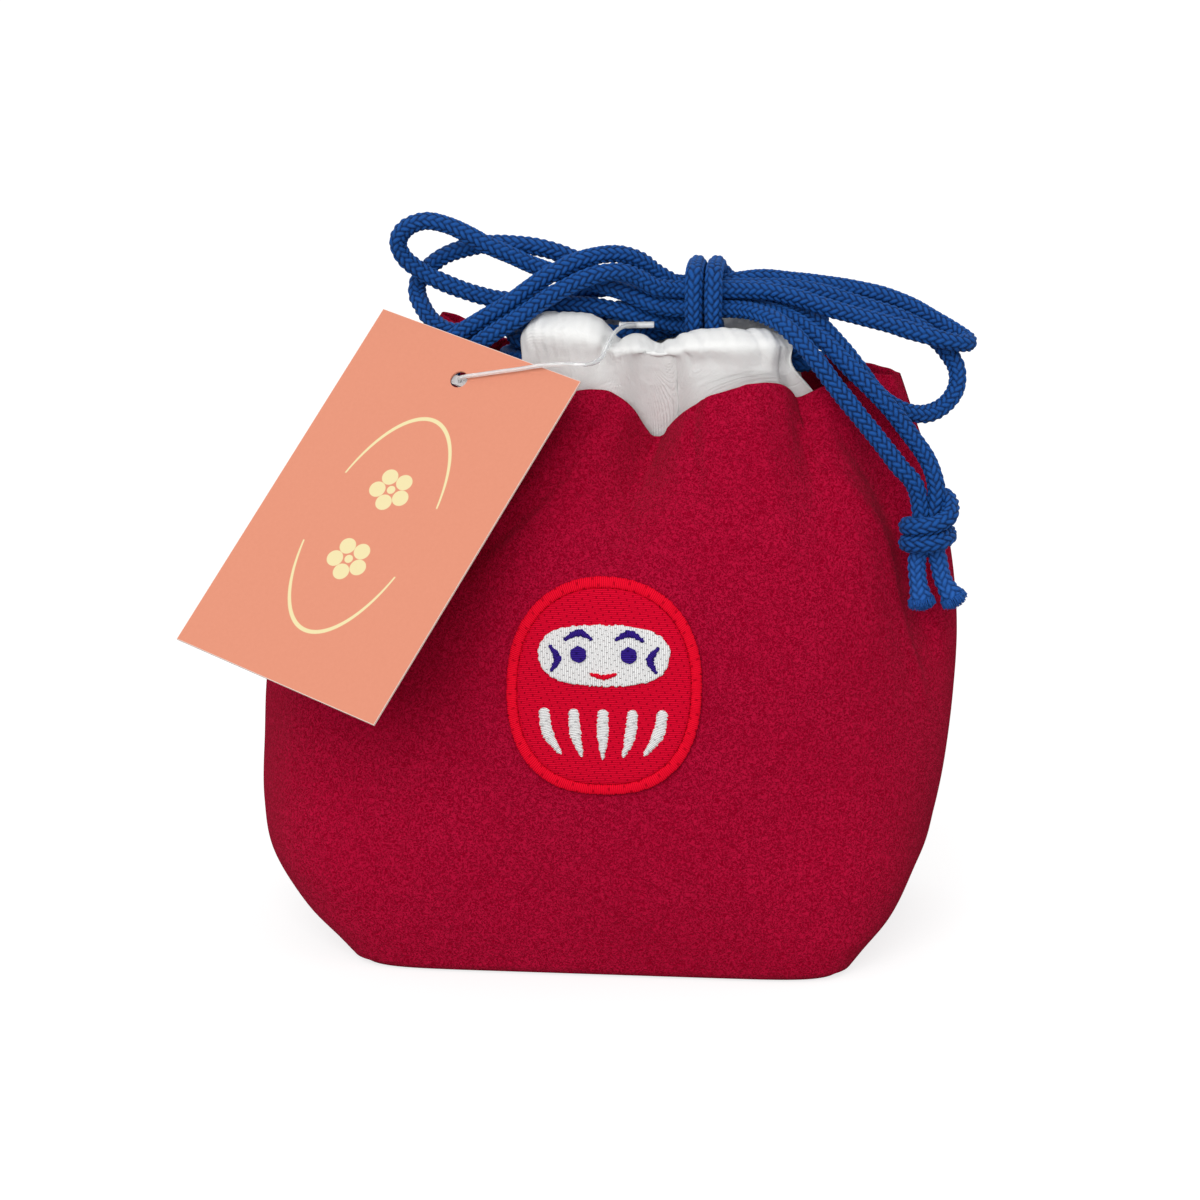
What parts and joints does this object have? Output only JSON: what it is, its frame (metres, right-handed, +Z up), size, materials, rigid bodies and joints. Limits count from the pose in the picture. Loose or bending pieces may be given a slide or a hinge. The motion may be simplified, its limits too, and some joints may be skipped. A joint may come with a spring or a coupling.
{
  "type": "drawstring pouch",
  "caption": "Small lined drawstring pouch with a boxed base, gathered mouth bands, cords tied in a bow, an embroidered patch and a hanging card tag.",
  "frame": {"origin": "centre of the underside of the base, on the surface it stands on", "axes": "+Z up, -Y towards the front with the patch, +X to the right as seen from the front"},
  "size_m": [0.1754, 0.1265, 0.1702],
  "materials": {
    "crepe": "crinkled crepe, matt with a soft sheen",
    "lining": "plain woven lining, matt",
    "band_cloth": "plain white woven cloth, matt",
    "cord_blue": "braided cord, slight sheen",
    "cord_ends": "cut braid, matt",
    "patch_red": "satin-stitch embroidery",
    "patch_rim_thread": "overlocked embroidery rim",
    "thread_white": "satin-stitch embroidery",
    "thread_navy": "satin-stitch embroidery",
    "tag_card": "uncoated coloured card with a smooth face",
    "pin_clear": "clear moulded tag pin"
  },
  "bodies": {
    "pouch": {"outer_bag": "crepe", "lining_bag": "lining", "channel_front": "band_cloth", "channel_back": "band_cloth", "cord_left_in_channel": "cord_blue", "cord_right_in_channel": "cord_blue", "cord_left_a": "cord_blue", "cord_left_b": "cord_blue", "cord_right_a": "cord_blue", "cord_right_b": "cord_blue", "end_knot_left": "cord_blue", "end_knot_right": "cord_blue", "cord_tip_left_a": "cord_ends", "cord_tip_left_b": "cord_ends", "cord_tip_right_a": "cord_ends", "cord_tip_right_b": "cord_ends", "patch_rim": "patch_rim_thread", "patch_ground": "patch_red", "face_field": "thread_white", "eye_left": "thread_navy", "eye_right": "thread_navy", "brow_left": "thread_navy", "brow_right": "thread_navy", "cheek_left": "thread_navy", "cheek_right": "thread_navy", "mouth": "patch_rim_thread", "body_stroke_1": "thread_white", "body_stroke_2": "thread_white", "body_stroke_3": "thread_white", "body_stroke_4": "thread_white", "body_stroke_5": "thread_white", "tag_pin": "pin_clear"},
    "tag": {"hang_tag": "tag_card"}
  },
  "joints": [
    {"name": "tag_swing", "type": "hinge", "parent": "pouch", "child": "tag", "pos_m": [-0.03226, -0.02609, 0.13476], "axis": [-0.2176, -0.7345, 0.6428], "range_deg": [-15, 20]}
  ]
}
